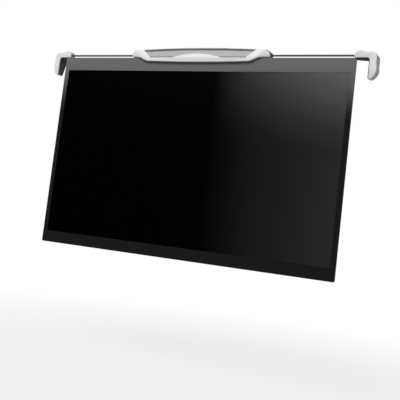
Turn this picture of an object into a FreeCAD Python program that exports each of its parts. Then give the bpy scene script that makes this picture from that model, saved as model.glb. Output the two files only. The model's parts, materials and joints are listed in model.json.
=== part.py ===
import FreeCAD, Part
import math
import os

# A clamp-on privacy filter for a flat monitor. All sizes are in millimetres.
# X runs to the viewer's right, -Y towards the viewer, Z up.
# The origin is the middle of the foot pad's underside, on the monitor's top edge.

V = FreeCAD.Vector

# Fit on the monitor
monitor_span = 521.0
arm_travel = 18.0
seat_inset = 1.5
bezel_gap = 0.8

# Filter panel and its film
panel_width = 490.0
panel_height = 305.0
panel_thickness = 2.0
panel_corner = 2.5
film_width = 474.0
film_height = 266.0
film_thickness = 0.3
film_drop = 21.0
film_corner = 1.0

# Housing
housing_length = 234.0
housing_depth = 23.0
housing_height = 16.0
crown_drop = 3.8
end_radius = 10.8
back_radius = 3.0
plan_radius = 6.5
end_sweep = 6.0
cap_over_brow = 4.0
wall = 1.8
base_thickness = 2.9
back_wall_height = 8.4

# Lip, facets and recess of the front cover
lip_drop = 7.1
lip_bow = 1.4
lip_length = 176.0
lip_thickness = 4.7
lip_rise = -0.8
lip_ledge = 1.1
flank_length = 26.0
flank_lift = 1.9
flank_start = 0.15
flank_ease = 0.2
flank_rise = 0.3
panel_headroom = 0.2
facet_lean = 3.5
brow_radius = 4.0
brow = 1.3
recess_top_width = 192.0
recess_bottom_width = 162.0
recess_lean = 7.0
recess_hollow = 0.6
inlay_thickness = 1.5
inlay_clearance = 0.1
inlay_groove = 1.0

# Badge plate, bare
badge_width = 88.0
badge_height = 6.8
badge_drop = 1.7
badge_seat = 0.8
badge_proud = 0.4

# Foot pad
foot_length = 164.0
foot_depth = 13.0
foot_thickness = 1.6
foot_corner = 3.2

# Arms, rack edges and pinion
arm_width = 5.2
arm_thickness = 1.6
arm_shoulder = 62.0
arm_socket = 16.0
rack_back = 2.4
rack_reach = 30.0
gear_module = 0.6
pinion_teeth = 12
rack_addendum = 0.4
rack_dedendum = 0.75
backlash = 0.1
pressure_angle = 20.0
pinion_pin_radius = 1.2
slide_clearance = 0.2
side_clearance = 0.3
running_clearance = 0.05
fixed_clearance = 0.03

# Guide plate over the pinion
guide_length = 76.0
guide_width = 12.0
guide_thickness = 1.0
guide_corner = 2.0
guide_screw_offset = 30.0
guide_post_radius = 2.9

# Tension spring and its posts
spring_wire_radius = 0.4
spring_coil_radius = 1.6
spring_coil_length = 26.0
spring_turns = 8
spring_wire_sides = 6
spring_height = 10.0
post_radius = 1.0
post_offset = 68.0
post_rivet_radius = 0.8
post_head_radius = 1.7
post_head_height = 0.5

# Corner clips and their pads
clip_depth = 18.0
clip_top = 10.0
clip_side = 11.0
clip_bump = 2.3
clip_flare = 0.9
clip_top_leg = 20.5
clip_side_leg = 28.0
clip_bump_share = 0.28
clip_dip_share = 0.66
clip_notch_share = 0.33
clip_flare_share = 0.57
clip_corner = 7.5
clip_inner_corner = 4.0
clip_end_height = 7.8
clip_toe = 5.0
clip_edge = 1.2
clip_end_depth = 11.0
clip_toe_depth = 12.0
pad_thickness = 1.5
pad_inset = 0.9

# Screws
screw_head_radius = 1.7
screw_shank_radius = 0.75
cover_screw_length = 7.0
panel_screw_length = 4.7
panel_screw_count = 5
panel_screw_pitch = 36.0
panel_screw_drop = 3.4
guide_screw_length = 3.2
clip_screw_length = 6.5
clip_screw_pitch = 7.0
boss_radius = 1.6

# Places worked out from the sizes above
bezel_front_y = -foot_depth / 2 - seat_inset
panel_back_y = bezel_front_y - bezel_gap
panel_front_y = panel_back_y - panel_thickness
lip_front_y = panel_front_y - lip_thickness
housing_back_y = lip_front_y + housing_depth
back_wall_y = housing_back_y - wall
cavity_front_y = panel_back_y
mechanism_y = (cavity_front_y + back_wall_y) / 2
base_top = foot_thickness + base_thickness
back_wall_top = foot_thickness + back_wall_height
housing_half = housing_length / 2
cavity_half = housing_half - end_radius
end_front_y = lip_front_y + end_sweep
cap_radius = brow_radius + cap_over_brow
arm_bottom = base_top + slide_clearance
arm_top = arm_bottom + arm_thickness
plate_bottom = arm_top + side_clearance
plate_top = plate_bottom + guide_thickness
pitch_radius = gear_module * pinion_teeth / 2
rack_pitch = math.pi * gear_module
rack_tip = pitch_radius - rack_addendum
rack_root = pitch_radius + rack_dedendum
lane_edge = rack_root + rack_back
boss_offset_y = arm_width / 2 + side_clearance + boss_radius
boss_gap = (boss_radius + side_clearance) * math.sqrt(2)
boss_x = arm_shoulder + arm_travel + lane_edge - boss_offset_y + boss_gap
monitor_half = monitor_span / 2
arm_tip_x = monitor_half - clip_top_leg + arm_socket
recess_low_y = lip_front_y + lip_ledge
lip_end_z = lip_bow - lip_drop
far = 2 * housing_length
tiny = 0.01


def limits_box(x0, x1, y0, y1, z0, z1):
    """Box between two corners."""
    return Part.makeBox(x1 - x0, y1 - y0, z1 - z0, V(x0, y0, z0))


def mirrored(shape):
    """The same piece on the other side of the YZ plane."""
    return shape.mirror(V(0, 0, 0), V(1, 0, 0))


def turned(shape):
    """The same piece turned half a turn about the pinion's axis."""
    copy = shape.copy()
    copy.rotate(V(0, mechanism_y, 0), V(0, 0, 1), 180)
    return copy


def both_sides(shape):
    """The piece and its mirror image, as one shape."""
    return shape.fuse(mirrored(shape))


def line(a, b):
    return Part.LineSegment(a, b).toShape()


def arc(a, through, b):
    return Part.Arc(a, through, b).toShape()


def rounded_outline(points, radii):
    """Closed wire through the points, each corner rounded by a tangent arc of its radius."""
    edges = []
    starts = []
    ends = []
    middles = []
    count = len(points)
    for i, corner in enumerate(points):
        back = (points[i - 1] - corner).normalize()
        ahead = (points[(i + 1) % count] - corner).normalize()
        half = back.getAngle(ahead) / 2
        reach = radii[i] / math.tan(half)
        inward = (back + ahead).normalize()
        starts.append(corner + back * reach)
        ends.append(corner + ahead * reach)
        middles.append(corner + inward * (radii[i] / math.sin(half) - radii[i]))
    for i in range(count):
        if radii[i] > 0:
            edges.append(arc(starts[i], middles[i], ends[i]))
        edges.append(line(ends[i], starts[(i + 1) % count]))
    return Part.Wire(edges)


def swept(wire, start, end):
    """The wire's face carried from start to end, given as two vectors from where it was drawn."""
    face = Part.Face(wire)
    face.translate(start)
    return face.extrude(end - start)


def cylinder(x, y, z0, z1, radius):
    """Upright cylinder between two heights."""
    return Part.makeCylinder(radius, z1 - z0, V(x, y, z0))


def countersunk(length, extra):
    """Countersunk screw along +Z with its head's face at the origin, or its hole with extra all round."""
    head = screw_head_radius + extra
    shank = screw_shank_radius + extra
    profile = [V(0, 0, 0), V(head, 0, 0), V(shank, 0, head - shank), V(shank, 0, length), V(0, 0, length)]
    return Part.Face(Part.makePolygon(profile + profile[:1])).revolve(V(0, 0, 0), V(0, 0, 1), 360)


def placed(shape, turn, x, y, z):
    """A copy of an upright piece turned about the X axis by degrees, then moved to a point."""
    copy = shape.copy()
    copy.rotate(V(0, 0, 0), V(1, 0, 0), turn)
    copy.translate(V(x, y, z))
    return copy


def together(shapes):
    """Separate solids of one kind, kept as one group."""
    return Part.makeCompound(shapes)


# Housing: outer form

def crown_height(x, drop):
    """Height of the crowned top at x, lowered by drop."""
    return housing_height - drop - crown_drop * (x / housing_half) ** 2


def lean_y(z):
    """Depth of the leaning front at a height."""
    return lip_front_y + facet_lean * (z - lip_rise) / (housing_height - lip_rise)


def side_section():
    """Section across the housing: lip, leaning front, top and back, all still sharp."""
    points = [
        V(0, lip_front_y, -lip_drop),
        V(0, lip_front_y, lip_rise),
        V(0, lean_y(housing_height), housing_height),
        V(0, housing_back_y, housing_height),
        V(0, housing_back_y, foot_thickness),
        V(0, cavity_front_y, foot_thickness),
        V(0, cavity_front_y, panel_headroom),
        V(0, panel_front_y, panel_headroom),
        V(0, panel_front_y, -lip_drop),
    ]
    return Part.makePolygon(points + points[:1])


def flank_curve(side):
    """S-curve from the lip's lower edge up to the housing's end, on one side."""
    lip_half = lip_length / 2
    poles = [
        V(side * (lip_half - flank_length * flank_start), 0, lip_end_z),
        V(side * (lip_half + flank_length * flank_ease), 0, lip_end_z),
        V(side * (lip_half + flank_length * flank_rise), 0, flank_lift),
        V(side * (lip_half + flank_length), 0, flank_lift),
    ]
    curve = Part.BezierCurve()
    curve.setPoles(poles)
    return curve


def front_outline():
    """Front view of the housing: bowed lip, S-curved flanks, upright ends and a crowned top."""
    right = flank_curve(1)
    left = flank_curve(-1)
    right_low = right.getPoles()[0]
    right_high = right.getPoles()[-1]
    left_low = left.getPoles()[0]
    left_high = left.getPoles()[-1]
    crown_end = crown_height(housing_half, 0)
    edges = [
        arc(left_low, V(0, 0, -lip_drop), right_low),
        right.toShape(),
        line(right_high, V(housing_half, 0, flank_lift)),
        line(V(housing_half, 0, flank_lift), V(housing_half, 0, crown_end)),
        arc(V(housing_half, 0, crown_end), V(0, 0, housing_height), V(-housing_half, 0, crown_end)),
        line(V(-housing_half, 0, crown_end), V(-housing_half, 0, flank_lift)),
        line(V(-housing_half, 0, flank_lift), left_high),
        left.toShape(),
    ]
    return Part.Wire(Part.__sortEdges__(edges))


def plan_outline():
    """Plan of the housing: straight front whose ends sweep back on an arc, and rounded back corners."""
    sweep_x = lip_length / 2
    run = housing_half - sweep_x
    radius = (run * run + end_sweep * end_sweep) / (2 * end_sweep)
    half_turn = math.asin(run / radius) / 2
    mid_x = sweep_x + radius * math.sin(half_turn)
    mid_y = lip_front_y + radius * (1 - math.cos(half_turn))
    corner_x = housing_half - plan_radius
    corner_y = housing_back_y - plan_radius
    slant = plan_radius * math.sqrt(0.5)
    edges = [
        line(V(-sweep_x, lip_front_y, 0), V(sweep_x, lip_front_y, 0)),
        arc(V(sweep_x, lip_front_y, 0), V(mid_x, mid_y, 0), V(housing_half, end_front_y, 0)),
        line(V(housing_half, end_front_y, 0), V(housing_half, corner_y, 0)),
        arc(
            V(housing_half, corner_y, 0),
            V(corner_x + slant, corner_y + slant, 0),
            V(corner_x, housing_back_y, 0),
        ),
        line(V(corner_x, housing_back_y, 0), V(-corner_x, housing_back_y, 0)),
        arc(
            V(-corner_x, housing_back_y, 0),
            V(-corner_x - slant, corner_y + slant, 0),
            V(-housing_half, corner_y, 0),
        ),
        line(V(-housing_half, corner_y, 0), V(-housing_half, end_front_y, 0)),
        arc(V(-housing_half, end_front_y, 0), V(-mid_x, mid_y, 0), V(-sweep_x, lip_front_y, 0)),
    ]
    return Part.Wire(edges)


def along(edge, holds):
    """True where both ends and the middle of an edge pass a test."""
    low, high = edge.ParameterRange
    return all(holds(edge.valueAt(t)) for t in (low, (low + high) / 2, high))


def middle_z(edge):
    """Height of an edge half way along."""
    low, high = edge.ParameterRange
    return edge.valueAt((low + high) / 2).z


def housing_form(radius):
    """Outer form of the housing: ends rounded to a radius, then brow and back, then cut to its plan."""
    front = swept(front_outline(), V(0, -far, 0), V(0, far, 0))
    crown_end = crown_height(housing_half, 0)
    corners = [e for e in front.Edges if along(e, lambda p: abs(p.z - crown_end) < tiny)]
    front = front.makeFillet(radius, [e for e in corners if e.Length > far])
    form = swept(side_section(), V(-far, 0, 0), V(far, 0, 0)).common(front)
    brow_edges = [e for e in form.Edges if along(e, lambda p: abs(p.y - lean_y(p.z)) < tiny)]
    form = form.makeFillet(brow_radius, [e for e in brow_edges if middle_z(e) > flank_lift + tiny])
    back_edges = [e for e in form.Edges if along(e, lambda p: abs(p.y - housing_back_y) < tiny)]
    form = form.makeFillet(back_radius, [e for e in back_edges if middle_z(e) > flank_lift + tiny])
    return form.common(swept(plan_outline(), V(0, 0, -far), V(0, 0, far)))


# Recess of the front cover

def recess_window(inset):
    """Front view of the recess: slanted ends and a top edge that follows the crown."""
    top = recess_top_width / 2 - inset
    bottom = recess_bottom_width / 2 - inset
    low_z = lip_rise + inset
    high_z = crown_height(0, brow + inset)
    end_z = crown_height(top, brow + inset)
    edges = [
        line(V(-bottom, 0, low_z), V(bottom, 0, low_z)),
        line(V(bottom, 0, low_z), V(top, 0, end_z)),
        arc(V(top, 0, end_z), V(0, 0, high_z), V(-top, 0, end_z)),
        line(V(-top, 0, end_z), V(-bottom, 0, low_z)),
    ]
    return swept(Part.Wire(edges), V(0, -far, 0), V(0, far, 0))


def recess_front(shift):
    """Space in front of the hollow face that leans back from lip to brow, moved back by shift."""
    low = V(0, recess_low_y + shift, lip_rise)
    high = V(0, recess_low_y + recess_lean + shift, housing_height)
    middle = (low + high) * 0.5 + V(0, recess_hollow, -recess_hollow / 2)
    front_low = V(0, lip_front_y - housing_depth, lip_rise)
    front_high = V(0, lip_front_y - housing_depth, housing_height)
    edges = [
        arc(low, middle, high),
        line(high, front_high),
        line(front_high, front_low),
        line(front_low, low),
    ]
    return swept(Part.Wire(edges), V(-far, 0, 0), V(far, 0, 0))


def badge_form(inset):
    """Arched front view of the badge plate, carried through from front to back."""
    half = badge_width / 2 - inset
    low_z = -badge_drop + inset
    high_z = low_z + badge_height - 2 * inset
    edges = [
        line(V(-half, 0, low_z), V(half, 0, low_z)),
        arc(V(half, 0, low_z), V(0, 0, high_z), V(-half, 0, low_z)),
    ]
    return swept(Part.Wire(edges), V(0, lip_front_y - badge_proud, 0), V(0, cavity_front_y, 0))


# Housing: pieces

def cavity():
    """Room inside the housing for the arms, pinion and spring, a wall's thickness under the crown."""
    lean = recess_lean * (housing_height - arm_top) / (housing_height - lip_rise)
    points = [
        V(0, cavity_front_y, base_top),
        V(0, cavity_front_y, arm_top),
        V(0, cavity_front_y + lean, housing_height),
        V(0, back_wall_y, housing_height),
        V(0, back_wall_y, base_top),
    ]
    room = swept(Part.makePolygon(points + points[:1]), V(-cavity_half, 0, 0), V(cavity_half, 0, 0))
    end_z = crown_height(cavity_half, wall)
    edges = [
        line(V(-cavity_half, 0, 0), V(cavity_half, 0, 0)),
        line(V(cavity_half, 0, 0), V(cavity_half, 0, end_z)),
        arc(V(cavity_half, 0, end_z), V(0, 0, crown_height(0, wall)), V(-cavity_half, 0, end_z)),
        line(V(-cavity_half, 0, end_z), V(-cavity_half, 0, 0)),
    ]
    return room.common(swept(Part.Wire(edges), V(0, -far, 0), V(0, far, 0)))


def rear_zone():
    """Space taken by the rear cover: base, back wall and end caps."""
    base = limits_box(-far, far, cavity_front_y, far, -far, base_top)
    back = limits_box(-far, far, back_wall_y, far, -far, back_wall_top)
    cap = limits_box(cavity_half, far, end_front_y, far, -far, far)
    return base.fuse(back).fuse(both_sides(cap))


def cover_screw_places():
    """The four corners where the covers are screwed together."""
    return [(sx * boss_x, mechanism_y + sy * boss_offset_y) for sx in (-1, 1) for sy in (-1, 1)]


def panel_screw_places():
    """Evenly spaced along the lip."""
    first = -(panel_screw_count - 1) / 2 * panel_screw_pitch
    return [first + i * panel_screw_pitch for i in range(panel_screw_count)]


def front_cover(form):
    """Silver front: lip, swept facets, recess seat, badge seat, screw bosses and arm slots."""
    shell = form.cut(rear_zone()).cut(cavity())
    boss_top = crown_height(boss_x, wall / 2)
    bosses = [cylinder(x, y, base_top, boss_top, boss_radius).common(form) for x, y in cover_screw_places()]
    shell = shell.multiFuse(bosses)
    shell = shell.cut(recess_front(inlay_thickness).common(recess_window(0)))
    badge_pocket = limits_box(-far, far, -far, lip_front_y + badge_seat, -far, far)
    shell = shell.cut(badge_form(0).common(badge_pocket)).cut(arm_slots())
    for x, y in cover_screw_places():
        shell = shell.cut(placed(countersunk(cover_screw_length, fixed_clearance), 0, x, y, foot_thickness))
    for x in panel_screw_places():
        hole = countersunk(panel_screw_length, fixed_clearance)
        shell = shell.cut(placed(hole, 90, x, panel_back_y, -panel_screw_drop))
    return shell.removeSplitter()


def front_inlay():
    """Grey plate that fills the back of the recess, with a groove left along its lower edge."""
    between = recess_front(inlay_thickness).cut(recess_front(0))
    groove = limits_box(-far, far, -far, far, -far, lip_rise + inlay_groove)
    return between.common(recess_window(inlay_clearance)).cut(groove)


def badge_lens():
    """Bare arched plate, seated in the lip and standing up in front of the inlay."""
    front = limits_box(-far, far, -far, lip_front_y + badge_seat, -far, far)
    upper = limits_box(-far, far, -far, far, lip_rise, far)
    plate = badge_form(inlay_clearance)
    return plate.common(front).fuse(plate.common(upper).common(recess_front(0))).removeSplitter()


def arm_slots():
    """Ways through the housing's ends for the arms."""
    half = arm_width / 2 + side_clearance
    slot = limits_box(cavity_half, far, mechanism_y - half, mechanism_y + half, base_top, plate_bottom)
    return both_sides(slot)


def rear_cover(form):
    """Dark tray: base, back wall, squarer end caps with arm slots, guide posts and pin seat."""
    tray = form.common(rear_zone()).cut(arm_slots())
    for x in (-guide_screw_offset, guide_screw_offset):
        tray = tray.fuse(cylinder(x, mechanism_y, foot_thickness, plate_bottom, guide_post_radius))
        hole = countersunk(guide_screw_length, fixed_clearance)
        tray = tray.cut(placed(hole, 180, x, mechanism_y, plate_top))
    tray = tray.cut(cylinder(0, mechanism_y, foot_thickness, base_top, pinion_pin_radius + fixed_clearance))
    for x, y in cover_screw_places():
        tray = tray.cut(placed(countersunk(cover_screw_length, fixed_clearance), 0, x, y, foot_thickness))
    return tray.removeSplitter()


def foot_pad():
    """Rubber strip between the base and the monitor's top edge."""
    half_x = foot_length / 2
    half_y = foot_depth / 2
    points = [V(-half_x, -half_y, 0), V(half_x, -half_y, 0), V(half_x, half_y, 0), V(-half_x, half_y, 0)]
    return swept(rounded_outline(points, [foot_corner] * 4), V(0, 0, 0), V(0, 0, foot_thickness))


def upright_sheet(width, z_top, z_bottom, corner, y_front, y_back):
    """Rounded upright rectangle with a thickness."""
    half = width / 2
    points = [V(-half, 0, z_bottom), V(half, 0, z_bottom), V(half, 0, z_top), V(-half, 0, z_top)]
    return swept(rounded_outline(points, [corner] * 4), V(0, y_front, 0), V(0, y_back, 0))


def filter_panel():
    """Acrylic carrier sheet, screwed behind the lip."""
    sheet = upright_sheet(panel_width, 0, -panel_height, panel_corner, panel_front_y, panel_back_y)
    for x in panel_screw_places():
        hole = countersunk(panel_screw_length, fixed_clearance)
        sheet = sheet.cut(placed(hole, 90, x, panel_back_y, -panel_screw_drop))
    return sheet


def privacy_film():
    """Louver film on the panel's front, over the viewing area."""
    low = -film_drop - film_height
    front_y = panel_front_y - film_thickness
    return upright_sheet(film_width, -film_drop, low, film_corner, front_y, panel_front_y)


# Mechanism

def rack_edge():
    """Outline of the toothed edge from the inner end outwards, as points in plan on the front lane."""
    half_pitch_line = rack_pitch / 4 - backlash / 2
    slope = math.tan(math.radians(pressure_angle))
    half_tip = half_pitch_line - rack_addendum * slope
    half_root = half_pitch_line + rack_dedendum * slope
    last = int((rack_reach - rack_pitch) / rack_pitch)
    points = []
    for i in range(-last, last + 1):
        x = i * rack_pitch
        points.append((x - half_root, -rack_root))
        points.append((x - half_tip, -rack_tip))
        points.append((x + half_tip, -rack_tip))
        points.append((x + half_root, -rack_root))
    return points


def arm_right():
    """Flat bar with its rack edge on the front lane, a shoulder and a socket end with screw holes."""
    half = arm_width / 2
    step = lane_edge - half
    outline = [(-rack_reach, -lane_edge), (-rack_reach, -rack_root)]
    outline += rack_edge()
    outline += [
        (arm_shoulder - step, -rack_root),
        (arm_shoulder + step, half),
        (arm_tip_x, half),
        (arm_tip_x, -half),
        (arm_shoulder + step, -half),
        (arm_shoulder, -lane_edge),
    ]
    points = [V(x, mechanism_y + y, 0) for x, y in outline]
    wire = Part.makePolygon(points + points[:1])
    bar = swept(wire, V(0, 0, arm_bottom), V(0, 0, arm_top))
    rivet_hole = post_rivet_radius + fixed_clearance
    screw_hole = screw_shank_radius + fixed_clearance
    bar = bar.cut(cylinder(post_offset, mechanism_y, arm_bottom, arm_top, rivet_hole))
    for x in clip_screw_places():
        bar = bar.cut(cylinder(x, mechanism_y, arm_bottom, arm_top, screw_hole))
    return bar


def spring_post_right():
    """Turned post riveted in the arm, with a head that keeps the spring's loop on."""
    loop_top = spring_height + spring_wire_radius + running_clearance
    rivet = cylinder(post_offset, mechanism_y, arm_bottom, arm_top, post_rivet_radius)
    post = cylinder(post_offset, mechanism_y, arm_top, loop_top, post_radius)
    head = cylinder(post_offset, mechanism_y, loop_top, loop_top + post_head_height, post_head_radius)
    return rivet.fuse(post).fuse(head).removeSplitter()


def pinion():
    """Spur pinion between the rack edges, with involute flanks and a tooth gap facing each rack."""
    base_radius = pitch_radius * math.cos(math.radians(pressure_angle))
    tip_radius = pitch_radius + gear_module
    root_radius = pitch_radius - rack_addendum - backlash - running_clearance
    half_angle = (rack_pitch / 2 - backlash / 2) / (2 * pitch_radius)
    involute = math.tan(math.radians(pressure_angle)) - math.radians(pressure_angle)
    flank_steps = 4
    flank = [(root_radius, half_angle + involute)]
    for i in range(flank_steps + 1):
        radius = base_radius + (tip_radius - base_radius) * i / flank_steps
        roll = math.sqrt(max((radius / base_radius) ** 2 - 1, 0))
        flank.append((radius, half_angle + involute - (roll - math.atan(roll))))
    points = []
    for tooth in range(pinion_teeth):
        middle = math.pi / 2 + (tooth + 0.5) * 2 * math.pi / pinion_teeth
        rising = [(radius, middle - angle) for radius, angle in flank]
        falling = [(radius, middle + angle) for radius, angle in reversed(flank)]
        for radius, angle in rising + falling:
            points.append(V(radius * math.cos(angle), mechanism_y + radius * math.sin(angle), 0))
    wire = Part.makePolygon(points + points[:1])
    gear = swept(wire, V(0, 0, arm_bottom), V(0, 0, arm_top))
    return gear.cut(cylinder(0, mechanism_y, arm_bottom, arm_top, pinion_pin_radius + running_clearance))


def pinion_pin():
    """Steel pin from the base up through the guide plate."""
    return cylinder(0, mechanism_y, foot_thickness, plate_top, pinion_pin_radius)


def guide_plate():
    """Plate that holds the bars and the pinion down, screwed on two posts."""
    half_x = guide_length / 2
    half_y = guide_width / 2
    corners = [V(-half_x, -half_y, 0), V(half_x, -half_y, 0), V(half_x, half_y, 0), V(-half_x, half_y, 0)]
    outline = rounded_outline(corners, [guide_corner] * 4)
    plate = swept(outline, V(0, mechanism_y, plate_bottom), V(0, mechanism_y, plate_top))
    plate = plate.cut(cylinder(0, mechanism_y, plate_bottom, plate_top, pinion_pin_radius + fixed_clearance))
    for x in (-guide_screw_offset, guide_screw_offset):
        hole = countersunk(guide_screw_length, fixed_clearance)
        plate = plate.cut(placed(hole, 180, x, mechanism_y, plate_top))
    return plate


def guide_screws():
    """Two countersunk screws, flush with the guide plate under the spring."""
    screw = countersunk(guide_screw_length, 0)
    places = (-guide_screw_offset, guide_screw_offset)
    return together([placed(screw, 180, x, mechanism_y, plate_top) for x in places])


def half_turn(start, end, rise):
    """Half a turn of spring wire from start to end in an upright plane, over the top if rise is 1."""
    span = end - start
    across = V(0, 0, 1).cross(span).normalize() * spring_wire_radius
    forward = span.normalize() * spring_wire_radius
    angles = [2 * math.pi * (i + 0.5) / spring_wire_sides for i in range(spring_wire_sides)]
    points = [start + forward * math.cos(angle) + across * math.sin(angle) for angle in angles]
    section = Part.Face(Part.makePolygon(points + points[:1]))
    return section.revolve((start + end) * 0.5, V(0, 0, rise).cross(span), 180)


def tension_spring():
    """Open coil along X made of tilted half turns, with a long leg and a loop at each end."""
    loop_radius = post_radius + spring_wire_radius + running_clearance
    coil_half = spring_coil_length / 2
    half_pitch = coil_half / spring_turns
    wires = []
    for i in range(2 * spring_turns):
        side = 1 if i % 2 == 0 else -1
        start = V(-coil_half + i * half_pitch, mechanism_y + side * spring_coil_radius, spring_height)
        end = V(-coil_half + (i + 1) * half_pitch, mechanism_y - side * spring_coil_radius, spring_height)
        wires.append(half_turn(start, end, side))
    for side in (-1, 1):
        coil_end = V(side * coil_half, mechanism_y + spring_coil_radius, spring_height)
        axis_point = V(side * coil_half, mechanism_y, spring_height)
        loop_point = V(side * (post_offset - loop_radius), mechanism_y, spring_height)
        leg = loop_point - axis_point
        wires.append(Part.makeCylinder(spring_wire_radius, spring_coil_radius, axis_point, V(0, 1, 0)))
        wires.append(Part.makeCylinder(spring_wire_radius, leg.Length, axis_point, leg))
        wires.append(Part.makeSphere(spring_wire_radius, coil_end))
        wires.append(Part.makeSphere(spring_wire_radius, axis_point))
        centre = V(side * post_offset, mechanism_y, spring_height)
        wires.append(Part.makeTorus(loop_radius, spring_wire_radius, centre, V(0, 0, 1)))
    return wires[0].multiFuse(wires[1:])


# Corner clips

def clip_screw_places():
    """Along the arm inside the right clip."""
    middle = arm_tip_x - arm_socket / 2
    return [middle - clip_screw_pitch / 2, middle + clip_screw_pitch / 2]


def clip_profile():
    """Front view of the right clip: an L with a raised inner end and a flared lower end."""
    inner_x = monitor_half - clip_top_leg
    outer_x = monitor_half + clip_side
    shell_x = monitor_half + pad_thickness
    bump_x = inner_x + clip_top_leg * clip_bump_share
    dip_x = inner_x + clip_top_leg * clip_dip_share
    notch_z = -clip_side_leg * clip_notch_share
    flare_z = -clip_side_leg * clip_flare_share
    slant = clip_corner * math.sqrt(0.5)
    inside = clip_inner_corner * (1 - math.sqrt(0.5))
    corner_x = outer_x - clip_corner
    corner_z = clip_top - clip_corner
    edges = [
        line(V(inner_x, 0, pad_thickness), V(inner_x, 0, clip_end_height)),
        arc(V(inner_x, 0, clip_end_height), V(bump_x, 0, clip_top + clip_bump), V(dip_x, 0, clip_top)),
        line(V(dip_x, 0, clip_top), V(corner_x, 0, clip_top)),
        arc(V(corner_x, 0, clip_top), V(corner_x + slant, 0, corner_z + slant), V(outer_x, 0, corner_z)),
        line(V(outer_x, 0, corner_z), V(outer_x, 0, notch_z)),
        arc(
            V(outer_x, 0, notch_z),
            V(outer_x + clip_flare, 0, flare_z),
            V(monitor_half + clip_toe, 0, -clip_side_leg),
        ),
        line(V(monitor_half + clip_toe, 0, -clip_side_leg), V(shell_x, 0, -clip_side_leg)),
        line(V(shell_x, 0, -clip_side_leg), V(shell_x, 0, pad_thickness - clip_inner_corner)),
        arc(
            V(shell_x, 0, pad_thickness - clip_inner_corner),
            V(shell_x - inside, 0, pad_thickness - inside),
            V(shell_x - clip_inner_corner, 0, pad_thickness),
        ),
        line(V(shell_x - clip_inner_corner, 0, pad_thickness), V(inner_x, 0, pad_thickness)),
    ]
    return Part.Wire(edges)


def clip_taper(inset):
    """Waste behind the clip: its back slopes forward along the top leg and down the side leg."""
    back_y = bezel_front_y + clip_depth - inset
    inner_x = monitor_half - clip_top_leg
    plan = [
        V(inner_x - far, bezel_front_y + clip_end_depth - inset, 0),
        V(inner_x, bezel_front_y + clip_end_depth - inset, 0),
        V(monitor_half, back_y, 0),
        V(monitor_half, far, 0),
        V(inner_x - far, far, 0),
    ]
    top_waste = swept(Part.makePolygon(plan + plan[:1]), V(0, 0, -far), V(0, 0, far))
    side = [
        V(0, bezel_front_y + clip_toe_depth - inset, -clip_side_leg - far),
        V(0, bezel_front_y + clip_toe_depth - inset, -clip_side_leg),
        V(0, back_y, -clip_corner),
        V(0, far, -clip_corner),
        V(0, far, -clip_side_leg - far),
    ]
    side_waste = swept(Part.makePolygon(side + side[:1]), V(0, 0, 0), V(2 * far, 0, 0))
    return top_waste.fuse(side_waste)


def clip_right():
    """Silver corner clip with a socket for the arm's end."""
    block = swept(clip_profile(), V(0, bezel_front_y, 0), V(0, bezel_front_y + clip_depth, 0))
    outer = [edge for edge in block.Edges if on_front_rim(edge)]
    block = block.makeFillet(clip_edge, outer)
    block = block.cut(clip_taper(0))
    half = arm_width / 2 + fixed_clearance
    socket = limits_box(
        0,
        arm_tip_x + fixed_clearance,
        mechanism_y - half,
        mechanism_y + half,
        arm_bottom - fixed_clearance,
        arm_top + fixed_clearance,
    )
    block = block.cut(socket)
    for x in clip_screw_places():
        hole = countersunk(clip_screw_length, fixed_clearance)
        block = block.cut(placed(hole, 0, x, mechanism_y, pad_thickness))
    return block


def on_front_rim(edge):
    """True for the clip's outer front edges, from its inner end round to its toe."""
    middle = edge.CenterOfMass
    at_front = abs(edge.BoundBox.YMin - bezel_front_y) + abs(edge.BoundBox.YMax - bezel_front_y) < tiny
    shell_x = monitor_half + pad_thickness
    inside = middle.x < shell_x + tiny and middle.z < pad_thickness + tiny
    under = middle.z < -clip_side_leg + tiny
    return at_front and not inside and not under


def clip_pad_right():
    """Rubber liner on the inside of the clip, over the monitor's corner."""
    inner_x = monitor_half - clip_top_leg + pad_inset
    shell_x = monitor_half + pad_thickness
    low_z = -clip_side_leg + pad_inset
    small = clip_inner_corner - pad_thickness
    points = [
        V(inner_x, 0, 0),
        V(monitor_half, 0, 0),
        V(monitor_half, 0, low_z),
        V(shell_x, 0, low_z),
        V(shell_x, 0, pad_thickness),
        V(inner_x, 0, pad_thickness),
    ]
    radii = [0, small, 0, 0, clip_inner_corner, 0]
    front = V(0, bezel_front_y + pad_inset + clip_edge, 0)
    liner = swept(rounded_outline(points, radii), front, V(0, bezel_front_y + clip_depth, 0))
    return liner.cut(clip_taper(pad_inset))


def clip_screws_right():
    """Two countersunk screws from under the pad, through the arm's end into the clip."""
    screw = countersunk(clip_screw_length, 0)
    return together([placed(screw, 0, x, mechanism_y, pad_thickness) for x in clip_screw_places()])


def panel_screws():
    """Countersunk screws from the panel's back into the lip."""
    screw = countersunk(panel_screw_length, 0)
    return together([placed(screw, 90, x, panel_back_y, -panel_screw_drop) for x in panel_screw_places()])


def cover_screws():
    """Countersunk screws from under the base into the front cover's bosses."""
    screw = countersunk(cover_screw_length, 0)
    return together([placed(screw, 0, x, y, foot_thickness) for x, y in cover_screw_places()])


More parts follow.
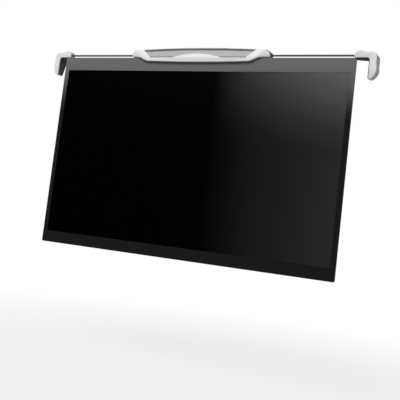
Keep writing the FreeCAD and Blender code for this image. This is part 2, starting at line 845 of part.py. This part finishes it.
def build():
    """Every piece by its name."""
    arm = arm_right()
    post = spring_post_right()
    return {
        "front_cover": front_cover(housing_form(end_radius)),
        "front_inlay": front_inlay(),
        "badge_lens": badge_lens(),
        "rear_cover": rear_cover(housing_form(cap_radius)),
        "foot_pad": foot_pad(),
        "filter_panel": filter_panel(),
        "privacy_film": privacy_film(),
        "panel_screws": panel_screws(),
        "cover_screws": cover_screws(),
        "arm_right": arm,
        "arm_left": turned(arm),
        "spring_post_right": post,
        "spring_post_left": turned(post),
        "pinion": pinion(),
        "pinion_pin": pinion_pin(),
        "guide_plate": guide_plate(),
        "guide_screws": guide_screws(),
        "tension_spring": tension_spring(),
        "clip_right": clip_right(),
        "clip_left": mirrored(clip_right()),
        "clip_pad_right": clip_pad_right(),
        "clip_pad_left": mirrored(clip_pad_right()),
        "clip_screws_right": clip_screws_right(),
        "clip_screws_left": mirrored(clip_screws_right()),
    }


os.makedirs("parts", exist_ok=True)
for name, shape in build().items():
    print(name, len(shape.Solids), round(shape.Volume, 2), shape.isValid())
    shape.exportStep("parts/" + name + ".step")
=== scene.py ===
import json
import math

import bmesh
import bpy
import numpy as np
from mathutils import Matrix, Vector


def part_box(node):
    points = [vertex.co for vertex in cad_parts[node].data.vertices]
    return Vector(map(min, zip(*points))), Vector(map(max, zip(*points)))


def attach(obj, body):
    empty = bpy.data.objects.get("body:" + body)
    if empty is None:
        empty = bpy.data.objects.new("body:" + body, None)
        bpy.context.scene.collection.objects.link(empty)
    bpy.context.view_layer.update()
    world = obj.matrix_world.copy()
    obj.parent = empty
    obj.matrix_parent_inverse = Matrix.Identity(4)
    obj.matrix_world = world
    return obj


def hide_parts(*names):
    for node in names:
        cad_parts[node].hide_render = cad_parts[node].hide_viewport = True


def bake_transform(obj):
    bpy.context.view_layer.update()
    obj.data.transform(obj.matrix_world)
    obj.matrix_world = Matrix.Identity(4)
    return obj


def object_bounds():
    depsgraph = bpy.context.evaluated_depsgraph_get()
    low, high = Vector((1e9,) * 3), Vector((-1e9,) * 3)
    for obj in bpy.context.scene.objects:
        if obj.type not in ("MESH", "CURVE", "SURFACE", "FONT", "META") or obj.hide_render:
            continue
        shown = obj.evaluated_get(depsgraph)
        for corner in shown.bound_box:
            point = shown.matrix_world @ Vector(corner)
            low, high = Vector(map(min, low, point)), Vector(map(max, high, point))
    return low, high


# A clamp-on privacy filter: silver housing and clips, dark sheet and louver film. Lengths are in metres.

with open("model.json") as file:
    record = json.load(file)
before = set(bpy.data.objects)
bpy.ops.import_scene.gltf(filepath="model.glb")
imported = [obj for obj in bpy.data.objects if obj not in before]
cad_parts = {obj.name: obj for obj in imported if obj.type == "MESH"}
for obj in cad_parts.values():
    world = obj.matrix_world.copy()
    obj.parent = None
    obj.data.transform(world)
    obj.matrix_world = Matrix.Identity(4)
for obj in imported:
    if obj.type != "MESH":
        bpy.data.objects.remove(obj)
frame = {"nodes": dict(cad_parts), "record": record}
CAD_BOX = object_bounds()
NODES = frame["nodes"]
BODIES = frame["record"]["behaviour"]["bodies"]
BODY_OF = {node: body for body, nodes in BODIES.items() for node in nodes}
SLOT_OF = {part["node"]: part["material_slot"] for part in frame["record"]["subparts"]}

# Camera: place and axes read from the photo's perspective, in an image of 400 by 400 pixels
CAMERA_AT = (0.5194, -0.9739, -0.2558)
CAMERA_FORWARD = (-0.4584, 0.8840, 0.0922)
CAMERA_RIGHT = (0.8865, 0.4472, 0.1191)
IMAGE_SIZE = 400
FOCAL_PIXELS = 735
AXIS_PIXEL = (197, 160)
SENSOR = 36

# Softboxes: centre, width, height, power in watts
KEY_BOX = ((-0.3, -1.6, 1.3), 1.5, 1.0, 43.0)
TOP_BOX = ((-0.6, 0.1, 1.5), 1.4, 0.9, 2.0)
BACK_BOX = ((-0.3, 1.9, 0.5), 1.2, 0.8, 12.0)
WORLD_LIGHT = 0.07

# Floor: drop below the sheet, size and finish, then the share of glow near the object, and the reach
# over which it grows to all
FLOOR_DROP = 0.165
FLOOR_SIZE = 12.0
FLOOR_COLOUR = (0.42, 0.42, 0.42, 1)
FLOOR_ROUGHNESS = 0.9
FLOOR_GLOW = 0.8
SHADOW_REACH = (0.5, 1.1)

# Rounded edges of the moulded pieces
SOFT_EDGE = {
    "front_cover": 0.0006,
    "rear_cover": 0.0004,
    "clip_right": 0.0006,
    "clip_left": 0.0006,
    "badge_lens": 0.0003,
}
EDGE_STEPS = 2
SHARP_ANGLE = math.radians(28)
FLAT_ANGLE = math.radians(0.02)
WELD_DISTANCE = 1e-6

# Behind this depth, shading follows the larger faces, as strongly as the weight says
BEHIND_FROM = 0.0
NORMAL_WEIGHT = 80

# Louvers of the film
LOUVER_PITCH = 0.000165
LOUVER_THICKNESS = 0.000014

# Sheet's window: share of light that each face holds back at two heights; holding back more towards the
# bottom is painted shade
WINDOW_SHADE_HEIGHTS = (-0.14, 0.01)
WINDOW_SHADE_ALPHA = (0.78, 0.475)

# Painted reflection, a grey band along the sheet's top: heights where it starts and where it is full
REFLECTION_HEIGHTS = (-0.09, -0.004)
TOP_PAINTED_REFLECTION = (0.152, 0.152, 0.162)

# Painted shadow line on the grey plate, where shade falls at its joint with the lip: heights above its
# lower edge where it starts to fade and ends, and its colour
PLATE_SHADOW_LINE = (0.001, 0.0016)
PLATE_SHADOW_COLOUR = (0.2, 0.2, 0.206)

# Visible screws: count in the sheet, and shares of the head's radius for the shank and the cross recess
PANEL_SCREW_COUNT = 5
SHANK_SHARE = 0.44
CROSS_REACH = 0.62
CROSS_HALF_WIDTH = 0.15
CROSS_DEPTH = 0.4
CROSS_SIDE_SLOPE = 2
CROSS_END_SLOPE = 4
FACE_RINGS = 16
SCREW_SPOKES = 48

# Where the spring is cut into halves
SPRING_CUT = (0.0004, 0, 0)

# Moulded grain: scale and detail of its fine speckle and of its broad mottle, the mottle's share in the
# height, and the depth of the bump
GRAIN_SCALE = 900.0
GRAIN_DETAIL = 1.0
MOTTLE_SCALE = 14.0
MOTTLE_DETAIL = 3.0
MOTTLE_SHARE = 0.3
BUMP_DEPTH = 0.0001


# Shader group

def new_group(name, inputs, outputs):
    """Shader group with number inputs, given as name and default, and number outputs."""
    group = bpy.data.node_groups.new(name, "ShaderNodeTree")
    for label, default in inputs:
        socket = group.interface.new_socket(label, in_out="INPUT", socket_type="NodeSocketFloat")
        socket.default_value = default
    for label in outputs:
        group.interface.new_socket(label, in_out="OUTPUT", socket_type="NodeSocketFloat")
    return group, group.nodes.new("NodeGroupInput"), group.nodes.new("NodeGroupOutput")


def moulded_grain():
    """Grain of a moulded surface: a broad mottle, a fine speckle, and a height made of both."""
    inputs = [("Grain Scale", GRAIN_SCALE), ("Mottle Scale", MOTTLE_SCALE)]
    group, enter, leave = new_group("Moulded grain", inputs, ["Mottle", "Speckle", "Height"])
    place = group.nodes.new("ShaderNodeTexCoord")
    mottle = group.nodes.new("ShaderNodeTexNoise")
    mottle.inputs["Detail"].default_value = MOTTLE_DETAIL
    speckle = group.nodes.new("ShaderNodeTexNoise")
    speckle.inputs["Detail"].default_value = GRAIN_DETAIL
    height = group.nodes.new("ShaderNodeMath")
    height.operation = "MULTIPLY_ADD"
    height.inputs[1].default_value = MOTTLE_SHARE
    links = group.links
    links.new(place.outputs["Object"], mottle.inputs["Vector"])
    links.new(place.outputs["Object"], speckle.inputs["Vector"])
    links.new(enter.outputs["Mottle Scale"], mottle.inputs["Scale"])
    links.new(enter.outputs["Grain Scale"], speckle.inputs["Scale"])
    links.new(mottle.outputs["Fac"], height.inputs[0])
    links.new(speckle.outputs["Fac"], height.inputs[2])
    links.new(mottle.outputs["Fac"], leave.inputs["Mottle"])
    links.new(speckle.outputs["Fac"], leave.inputs["Speckle"])
    links.new(height.outputs["Value"], leave.inputs["Height"])
    return group


GRAIN = moulded_grain()


# Materials

class Finish:
    """A material whose colour follows the mottle, and whose roughness and bump follow the grain."""

    def __init__(
        self,
        name,
        dark,
        light,
        rough,
        bump,
        grain=GRAIN_SCALE,
        mottle=MOTTLE_SCALE,
        metallic=0.0,
        gloss=0.5,
    ):
        self.material = bpy.data.materials.new(name)
        self.material.use_nodes = True
        self.nodes = self.material.node_tree.nodes
        self.links = self.material.node_tree.links
        self.shader = self.nodes["Principled BSDF"]
        self.shader.inputs["Metallic"].default_value = metallic
        self.shader.inputs["Specular IOR Level"].default_value = gloss
        grained = self.nodes.new("ShaderNodeGroup")
        grained.node_tree = GRAIN
        grained.inputs["Grain Scale"].default_value = grain
        grained.inputs["Mottle Scale"].default_value = mottle
        self.colour = self.blend(dark, light, grained.outputs["Mottle"])
        self.links.new(self.colour, self.shader.inputs["Base Color"])
        roughness = self.ranged(grained.outputs["Speckle"], (0, 1), rough)
        self.links.new(roughness, self.shader.inputs["Roughness"])
        raised = self.nodes.new("ShaderNodeBump")
        raised.inputs["Strength"].default_value = bump
        raised.inputs["Distance"].default_value = BUMP_DEPTH
        self.links.new(grained.outputs["Height"], raised.inputs["Height"])
        self.links.new(raised.outputs["Normal"], self.shader.inputs["Normal"])

    def blend(self, first, second, share):
        """Colour that goes from the first to the second as the share goes from 0 to 1."""
        mix = self.nodes.new("ShaderNodeMix")
        mix.data_type = "RGBA"
        for socket, colour in (("A", first), ("B", second)):
            if isinstance(colour, tuple):
                mix.inputs[socket].default_value = (*colour, 1)
            else:
                self.links.new(colour, mix.inputs[socket])
        self.links.new(share, mix.inputs["Factor"])
        return mix.outputs["Result"]

    def ranged(self, value, taken, given):
        """Value brought smoothly from one range to another and held at its ends."""
        node = self.nodes.new("ShaderNodeMapRange")
        node.interpolation_type = "SMOOTHSTEP"
        node.inputs["From Min"].default_value, node.inputs["From Max"].default_value = taken
        node.inputs["To Min"].default_value, node.inputs["To Max"].default_value = given
        self.links.new(value, node.inputs["Value"])
        return node.outputs["Result"]

    def maths(self, operation, *values):
        """One step of arithmetic on values that are sockets or numbers."""
        node = self.nodes.new("ShaderNodeMath")
        node.operation = operation
        for socket, value in zip(node.inputs, values):
            if isinstance(value, float):
                socket.default_value = value
            else:
                self.links.new(value, socket)
        return node.outputs["Value"]

    def axes(self):
        """The three coordinates of the surface in the frame."""
        place = self.nodes.new("ShaderNodeTexCoord")
        split = self.nodes.new("ShaderNodeSeparateXYZ")
        self.links.new(place.outputs["Object"], split.inputs["Vector"])
        return split.outputs


def plate_finish():
    """Mid-grey plate with a painted shadow line along its lower edge, where it meets the lip."""
    plate = Finish(
        "Grey plastic",
        dark=(0.35, 0.35, 0.36),
        light=(0.39, 0.39, 0.4),
        rough=(0.42, 0.54),
        bump=0.15,
    )
    lower_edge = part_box("front_inlay")[0].z
    heights = [lower_edge + rise for rise in PLATE_SHADOW_LINE]
    # Painted shadow: a dark line along the plate's lower edge, where it meets the lip
    above_shadow_line = plate.ranged(plate.axes()["Z"], heights, (0, 1))
    shadow_lined = plate.blend(PLATE_SHADOW_COLOUR, plate.colour, above_shadow_line)
    plate.links.new(shadow_lined, plate.shader.inputs["Base Color"])
    return plate


def sheet_finish():
    """Dark sheet: black border, a grey painted reflection that fades in at the top, and a smoky window at
    the film that holds back more light towards its bottom, a painted shade.
    """
    sheet = Finish(
        "Dark acrylic",
        dark=(0.004, 0.004, 0.0045),
        light=(0.006, 0.006, 0.0065),
        rough=(0.16, 0.26),
        bump=0.02,
        grain=500.0,
        mottle=5.0,
        gloss=0.08,
    )
    axes = sheet.axes()
    # Painted reflection: grey that fades in towards the sheet's top
    reflection_share = sheet.ranged(axes["Z"], REFLECTION_HEIGHTS, (0, 1))
    sheet.links.new(sheet.blend(sheet.colour, TOP_PAINTED_REFLECTION, reflection_share), sheet.shader.inputs["Base Color"])
    low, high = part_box("privacy_film")
    off_middle = sheet.maths("ABSOLUTE", sheet.maths("SUBTRACT", axes["Z"], (low.z + high.z) / 2))
    within_height = sheet.maths("LESS_THAN", off_middle, (high.z - low.z) / 2)
    within_width = sheet.maths("LESS_THAN", sheet.maths("ABSOLUTE", axes["X"]), high.x)
    window = sheet.maths("MULTIPLY", within_height, within_width)
    # Painted shade: the window holds back more light towards its bottom, so it is darker there and
    # lighter at the top
    shade_held_back = sheet.ranged(axes["Z"], WINDOW_SHADE_HEIGHTS, WINDOW_SHADE_ALPHA)
    let_through = sheet.maths("MULTIPLY", window, sheet.maths("SUBTRACT", 1.0, shade_held_back))
    sheet.links.new(sheet.maths("SUBTRACT", 1.0, let_through), sheet.shader.inputs["Alpha"])
    return sheet


FINISHES = {
    "silver_plastic": Finish(
        "Silver plastic",
        dark=(0.76, 0.762, 0.77),
        light=(0.81, 0.812, 0.82),
        rough=(0.36, 0.48),
        bump=0.12,
        gloss=0.35,
    ),
    "grey_plastic": plate_finish(),
    "pale_plastic": Finish(
        "Pale plastic",
        dark=(0.92, 0.92, 0.925),
        light=(0.95, 0.95, 0.955),
        rough=(0.16, 0.24),
        bump=0.02,
    ),
    "charcoal_plastic": Finish(
        "Charcoal plastic",
        dark=(0.022, 0.022, 0.023),
        light=(0.032, 0.032, 0.034),
        rough=(0.5, 0.62),
        bump=0.25,
        gloss=0.35,
    ),
    "pad_rubber": Finish(
        "Pad rubber",
        dark=(0.035, 0.035, 0.036),
        light=(0.05, 0.05, 0.051),
        rough=(0.68, 0.8),
        bump=0.2,
        gloss=0.3,
    ),
    "dark_acrylic": sheet_finish(),
    "louver_film": Finish(
        "Louver film",
        dark=(0.0008, 0.0008, 0.0009),
        light=(0.0012, 0.0012, 0.0013),
        rough=(0.5, 0.6),
        bump=0.05,
        gloss=0.01,
    ),
    "black_steel": Finish(
        "Black steel",
        dark=(0.016, 0.014, 0.013),
        light=(0.024, 0.021, 0.019),
        rough=(0.4, 0.52),
        bump=0.1,
        grain=1200.0,
        gloss=0.3,
    ),
    "gear_plastic": Finish(
        "Gear plastic",
        dark=(0.76, 0.74, 0.68),
        light=(0.82, 0.8, 0.74),
        rough=(0.4, 0.5),
        bump=0.08,
    ),
    "steel": Finish(
        "Plain steel",
        dark=(0.5, 0.5, 0.51),
        light=(0.58, 0.58, 0.59),
        rough=(0.26, 0.4),
        bump=0.06,
        grain=1500.0,
        metallic=1.0,
    ),
}


# Pieces

def dress(obj, node):
    """Gives a piece the finish of a node's slot."""
    obj.data.materials.clear()
    obj.data.materials.append(FINISHES[SLOT_OF[node]].material)


def stand_for(mesh, node, name, rides=True):
    """New piece that takes a node's place, slot and finish, and rides on its body unless told not to."""
    obj = bpy.data.objects.new(name, mesh)
    bpy.context.scene.collection.objects.link(obj)
    if rides:
        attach(obj, BODY_OF[node])
    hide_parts(node)
    dress(obj, node)
    return obj


def opened(mesh):
    """A mesh taken up for work, with its loose triangles joined."""
    work = bmesh.new()
    work.from_mesh(mesh)
    bmesh.ops.remove_doubles(work, verts=work.verts, dist=WELD_DISTANCE)
    return work


def put_back(work, mesh):
    """Ends the work on a mesh and shades it smooth."""
    work.to_mesh(mesh)
    work.free()
    mesh.shade_smooth()


def soft_edged(node, width):
    """Copy of a solid with flats merged and sharp edges rounded, shaded by its larger faces behind."""
    mesh = NODES[node].data.copy()
    work = opened(mesh)
    bmesh.ops.dissolve_limit(work, angle_limit=FLAT_ANGLE, verts=work.verts, edges=work.edges)
    put_back(work, mesh)
    piece = stand_for(mesh, node, node + "_softened")
    edge = piece.modifiers.new("edge", "BEVEL")
    edge.width = width
    edge.segments = EDGE_STEPS
    edge.limit_method = "ANGLE"
    edge.angle_limit = SHARP_ANGLE
    edge.harden_normals = True
    places = np.empty(3 * len(mesh.vertices))
    mesh.vertices.foreach_get("co", places)
    behind = piece.vertex_groups.new(name="behind")
    behind.add(np.flatnonzero(places[1::3] > BEHIND_FROM).tolist(), 1.0, "REPLACE")
    shading = piece.modifiers.new("shading", "WEIGHTED_NORMAL")
    shading.weight = NORMAL_WEIGHT
    shading.vertex_group = behind.name


def louver_slats():
    """Upright slats at even steps across the film, each a strip from front to back and bottom to top."""
    low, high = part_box("privacy_film")
    count = int((high.x - low.x) / LOUVER_PITCH)
    points = np.empty((count, 4, 3))
    points[:, :, 0] = np.linspace(low.x, high.x, count)[:, None]
    points[:, :, 1:] = [(low.y, low.z), (high.y, low.z), (high.y, high.z), (low.y, high.z)]
    mesh = bpy.data.meshes.new("film_louvers")
    mesh.from_pydata(points.reshape(-1, 3), [], np.arange(4 * count).reshape(-1, 4))
    body = stand_for(mesh, "privacy_film", "film_louvers").modifiers.new("body", "SOLIDIFY")
    body.thickness = LOUVER_THICKNESS
    body.offset = 0.0


def cross_screw(radius, length):
    """Countersunk screw from its face at height 0 to its length, as rings by spokes.

    The face sinks by the cross's depth, times how far a point lies within the half-width of the nearer
    arm and within the cross's reach, each times its slope and held from 0 to 1. The outline then runs
    along the cone and the shank to the middle of the far end.
    """
    face = np.linspace(0, 1, FACE_RINGS)
    ring = np.concatenate([face, [SHANK_SHARE, SHANK_SHARE, 0]])[:, None]
    height = np.concatenate([0 * face, [(1 - SHANK_SHARE) * radius, length, length]])[:, None]
    turn = np.linspace(0, 2 * np.pi, SCREW_SPOKES, endpoint=False)[None, :]
    x = ring * np.cos(turn)
    y = ring * np.sin(turn)
    off_arm = np.minimum(abs(x), abs(y)) / CROSS_HALF_WIDTH
    in_arm = np.clip((1 - off_arm) * CROSS_SIDE_SLOPE, 0, 1)
    in_reach = np.clip((1 - ring / CROSS_REACH) * CROSS_END_SLOPE, 0, 1)
    on_face = (np.arange(len(ring)) < FACE_RINGS)[:, None]
    sink = CROSS_DEPTH * radius * in_arm * in_reach * on_face
    return np.stack([radius * x, radius * y, height + sink], axis=-1)


def ring_faces(rings, spokes):
    """Four-sided faces between neighbouring rings, closed round."""
    index = np.arange(rings * spokes).reshape(rings, spokes)
    ahead = np.roll(index, -1, axis=1)
    quads = [index[:-1], ahead[:-1], ahead[1:], index[1:]]
    return np.stack(quads, axis=-1).reshape(-1, 4)


def screw_set(node, places, radius, length, turn):
    """Cross-recessed screws at the places, turned from upright by a matrix, for a node's plain ones."""
    one = cross_screw(radius, length)
    faces = ring_faces(*one.shape[:2])
    shape = one.reshape(-1, 3) @ np.array(turn).T
    points = np.array(places)[:, None, :] + shape[None, :, :]
    steps = np.arange(len(places))[:, None, None] * len(shape)
    mesh = bpy.data.meshes.new(node + "_crossed")
    mesh.from_pydata(points.reshape(-1, 3), [], (faces[None, :, :] + steps).reshape(-1, 4))
    put_back(opened(mesh), mesh)
    mesh.set_sharp_from_angle(angle=SHARP_ANGLE)
    stand_for(mesh, node, node + "_crossed")


def visible_screws():
    """Screws in the sheet's back and under the base, with heads alike, placed from their nodes' boxes."""
    low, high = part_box("panel_screws")
    radius = (high.z - low.z) / 2
    across = np.linspace(low.x + radius, high.x - radius, PANEL_SCREW_COUNT)
    behind = [(x, high.y, (low.z + high.z) / 2) for x in across]
    screw_set("panel_screws", behind, radius, high.y - low.y, Matrix.Rotation(math.pi / 2, 3, "X"))
    low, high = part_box("cover_screws")
    columns = (low.x + radius, high.x - radius)
    rows = (low.y + radius, high.y - radius)
    under = [(x, y, low.z) for x in columns for y in rows]
    screw_set("cover_screws", under, radius, high.z - low.z, Matrix.Identity(3))


def spring_half(side, arm):
    """Half of the spring, cut and closed near its middle, that stretches from the housing to a post."""
    mesh = NODES["tension_spring"].data.copy()
    work = opened(mesh)
    whole = work.verts[:] + work.edges[:] + work.faces[:]
    away = Vector((-side, 0, 0))
    cut = bmesh.ops.bisect_plane(work, geom=whole, plane_co=SPRING_CUT, plane_no=away, clear_outer=True)
    rim = [edge for edge in cut["geom_cut"] if isinstance(edge, bmesh.types.BMEdge)]
    bmesh.ops.holes_fill(work, edges=rim)
    put_back(work, mesh)
    mesh.set_sharp_from_angle(angle=SHARP_ANGLE)
    half = stand_for(mesh, "tension_spring", "spring_half_" + BODY_OF[arm], rides=False)
    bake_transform(half)


for name, solid in NODES.items():
    dress(solid, name)
for name, rounding in SOFT_EDGE.items():
    soft_edged(name, rounding)
louver_slats()
visible_screws()
spring_half(-1, "arm_left")
spring_half(1, "arm_right")


# Stage, lights and camera

def ray_is_seen(nodes, links):
    """1 for a ray from the camera, off gloss or through glass, and 0 for one that lights a surface."""
    path = nodes.new("ShaderNodeLightPath")
    seen = path.outputs["Is Camera Ray"]
    for kind in ("Is Glossy Ray", "Is Transmission Ray"):
        either = nodes.new("ShaderNodeMath")
        either.operation = "MAXIMUM"
        links.new(seen, either.inputs[0])
        links.new(path.outputs[kind], either.inputs[1])
        seen = either.outputs["Value"]
    return seen


def white_world():
    """White where it is seen, and a plain soft level where it lights."""
    world = bpy.data.worlds.new("Studio")
    bpy.context.scene.world = world
    world.use_nodes = True
    nodes, links = world.node_tree.nodes, world.node_tree.links
    level = nodes.new("ShaderNodeMapRange")
    level.inputs["To Min"].default_value = WORLD_LIGHT
    links.new(ray_is_seen(nodes, links), level.inputs["Value"])
    background = nodes["Background"]
    background.inputs["Color"].default_value = (1, 1, 1, 1)
    links.new(level.outputs["Result"], background.inputs["Strength"])


def floor_finish():
    """Pale floor that keeps the shadow near the object and glows white further out."""
    material = bpy.data.materials.new("Pale floor")
    material.use_nodes = True
    nodes, links = material.node_tree.nodes, material.node_tree.links
    shader = nodes["Principled BSDF"]
    shader.inputs["Base Color"].default_value = FLOOR_COLOUR
    shader.inputs["Roughness"].default_value = FLOOR_ROUGHNESS
    place = nodes.new("ShaderNodeTexCoord")
    reach = nodes.new("ShaderNodeVectorMath")
    reach.operation = "LENGTH"
    away = nodes.new("ShaderNodeMapRange")
    away.interpolation_type = "SMOOTHSTEP"
    away.inputs["From Min"].default_value, away.inputs["From Max"].default_value = SHADOW_REACH
    away.inputs["To Min"].default_value = FLOOR_GLOW
    share = nodes.new("ShaderNodeMath")
    share.operation = "MULTIPLY"
    glow = nodes.new("ShaderNodeEmission")
    blend = nodes.new("ShaderNodeMixShader")
    links.new(place.outputs["Object"], reach.inputs[0])
    links.new(reach.outputs["Value"], away.inputs["Value"])
    links.new(away.outputs["Result"], share.inputs[0])
    links.new(ray_is_seen(nodes, links), share.inputs[1])
    links.new(share.outputs["Value"], blend.inputs["Fac"])
    links.new(shader.outputs["BSDF"], blend.inputs[1])
    links.new(glow.outputs["Emission"], blend.inputs[2])
    links.new(blend.outputs["Shader"], nodes["Material Output"].inputs["Surface"])
    return material


def pale_floor():
    """Flat floor below the sheet."""
    low = CAD_BOX[0].z - FLOOR_DROP
    half = FLOOR_SIZE / 2
    mesh = bpy.data.meshes.new("floor")
    corners = [(-half, -half, low), (half, -half, low), (half, half, low), (-half, half, low)]
    mesh.from_pydata(corners, [], [(0, 1, 2, 3)])
    mesh.materials.append(floor_finish())
    floor = bpy.data.objects.new("floor", mesh)
    bpy.context.scene.collection.objects.link(floor)


def softbox(name, centre, width, height, power):
    """Rectangular lamp at a point, turned to the housing."""
    lamp = bpy.data.lights.new(name, "AREA")
    lamp.shape = "RECTANGLE"
    lamp.size = width
    lamp.size_y = height
    lamp.energy = power
    obj = bpy.data.objects.new(name, lamp)
    bpy.context.scene.collection.objects.link(obj)
    obj.location = centre
    obj.rotation_mode = "QUATERNION"
    obj.rotation_quaternion = (-Vector(centre)).to_track_quat("-Z", "Y")


def photo_camera():
    """Camera at the photo's place and along its axes, shifted so that its axis falls on the photo's."""
    data = bpy.data.cameras.new("camera")
    data.sensor_width = SENSOR
    data.lens = FOCAL_PIXELS / IMAGE_SIZE * SENSOR
    data.shift_x = 0.5 - AXIS_PIXEL[0] / IMAGE_SIZE
    data.shift_y = AXIS_PIXEL[1] / IMAGE_SIZE - 0.5
    camera = bpy.data.objects.new("camera", data)
    bpy.context.scene.collection.objects.link(camera)
    back = -Vector(CAMERA_FORWARD).normalized()
    up = back.cross(Vector(CAMERA_RIGHT)).normalized()
    axes = Matrix((up.cross(back), up, back)).transposed()
    camera.matrix_world = Matrix.Translation(CAMERA_AT) @ axes.to_4x4()
    bpy.context.scene.camera = camera


white_world()
pale_floor()
softbox("key", *KEY_BOX)
softbox("top", *TOP_BOX)
softbox("back", *BACK_BOX)
photo_camera()
bpy.context.scene.view_settings.view_transform = "Standard"
